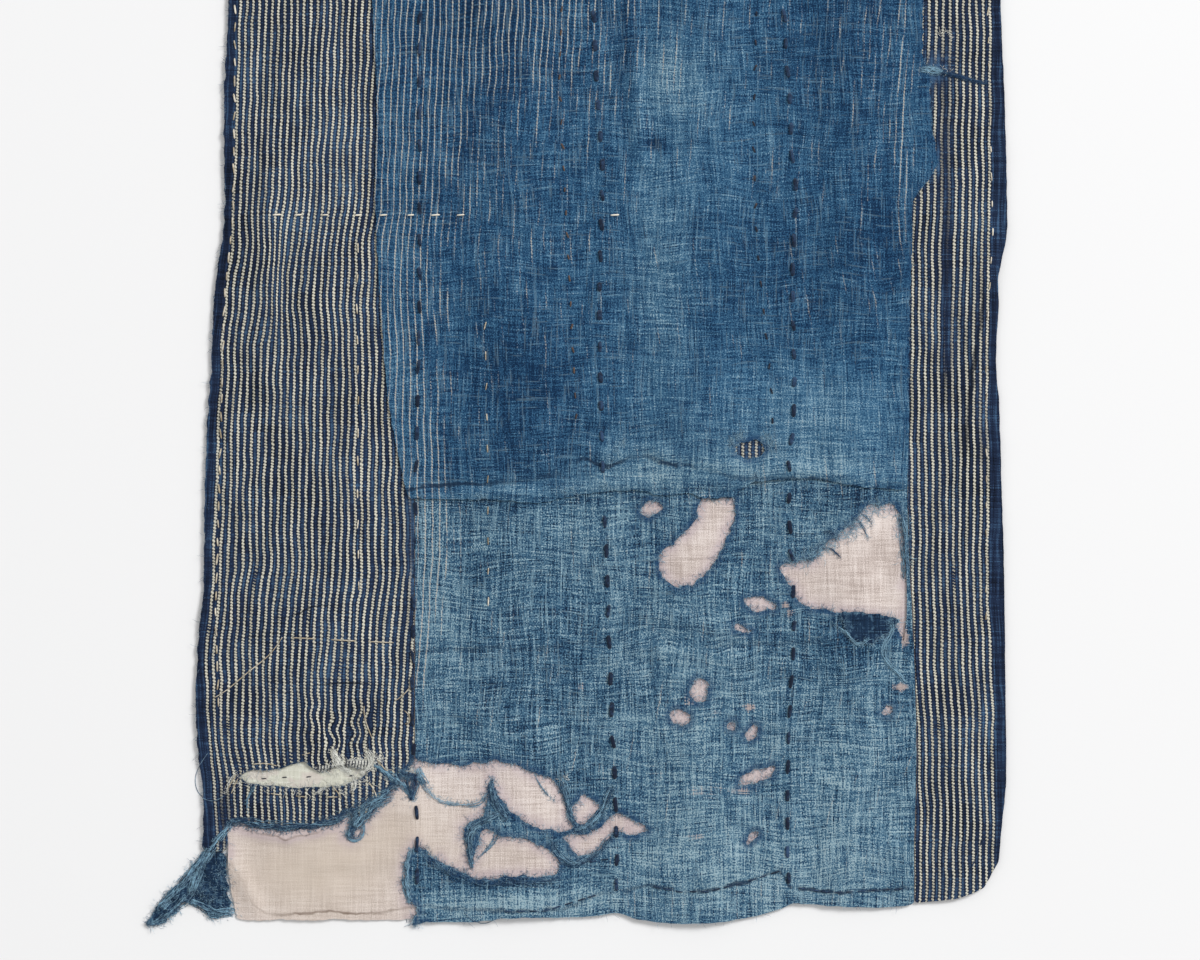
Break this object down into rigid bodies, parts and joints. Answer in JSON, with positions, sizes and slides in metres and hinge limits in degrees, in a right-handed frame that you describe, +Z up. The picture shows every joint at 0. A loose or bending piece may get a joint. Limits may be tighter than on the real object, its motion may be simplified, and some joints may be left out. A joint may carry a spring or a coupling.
{
  "type": "boro patched cloth",
  "caption": "Rectangular mended cotton cloth of worn indigo and striped pieces over a pale lining, lying flat with holes and a torn corner.",
  "frame": {"origin": "under the middle of the cloth, on the flat underside of the lining", "axes": "+X across the cloth to the right, +Y up the cloth away from its worn hem, +Z up from the surface it lies on"},
  "size_m": [0.5337, 0.754, 0.0077],
  "materials": {
    "pale_cotton": "washed plain weave",
    "white_cotton": "washed plain weave",
    "striped_cotton": "narrow cream stripes on indigo",
    "indigo_cotton": "plain weave, rubbed paler in places",
    "worn_indigo_cotton": "thin plain weave, worn through in places",
    "dark_indigo_cotton": "unfaded plain weave with frayed edges"
  },
  "bodies": {
    "root": {"lining": "pale_cotton", "pale_patch": "white_cotton", "striped_left": "striped_cotton", "striped_right": "striped_cotton", "indigo_lower": "worn_indigo_cotton", "indigo_upper": "indigo_cotton", "fallen_corner": "dark_indigo_cotton"}
  },
  "joints": []
}
